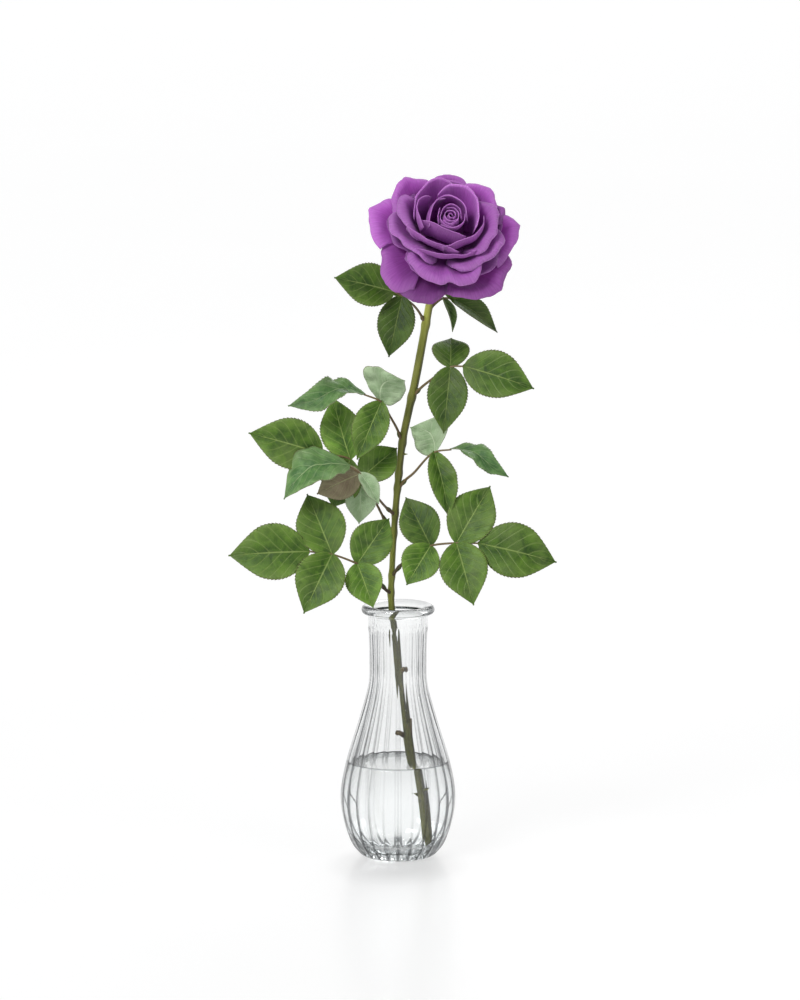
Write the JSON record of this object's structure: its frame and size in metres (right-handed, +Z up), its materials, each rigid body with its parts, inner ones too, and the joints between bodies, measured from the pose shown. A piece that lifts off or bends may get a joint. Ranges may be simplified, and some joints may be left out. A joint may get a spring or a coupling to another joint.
{
  "type": "rose in a bud vase",
  "caption": "Cut rose in full bloom with a leafy stem, standing in water in a small fluted clear glass bud vase with a round rim.",
  "frame": {"origin": "centre of the vase's flat foot, on the surface that it stands on", "axes": "+Z up along the vase's axis; the bloom looks towards -Y, the viewer's side, and the stem leans towards +X as it rises"},
  "size_m": [0.2295, 0.0903, 0.4851],
  "materials": {
    "vase_glass": "clear pressed glass, polished, with upright flutes",
    "water": "clear still water",
    "stem_green": "smooth green rose stem, browner on its shaded side",
    "petal_purple": "velvety purple petals, paler at their rolled edges",
    "leaf_green": "slightly glossy toothed leaves with pale veins",
    "leaf_pale": "younger leaves that show their paler underside"
  },
  "bodies": {
    "root": {"vase": "vase_glass", "water": "water", "stem": "stem_green", "bloom": "petal_purple", "leaf_lower_left": "leaf_green", "leaf_lower_right": "leaf_green", "leaf_middle_left_back": "leaf_green", "leaf_middle_left_front": "leaf_pale", "leaf_middle_right": "leaf_green", "leaf_upper_left": "leaf_pale", "leaf_upper_right": "leaf_green", "leaf_top_left": "leaf_green", "leaf_top_right": "leaf_green"}
  },
  "joints": []
}
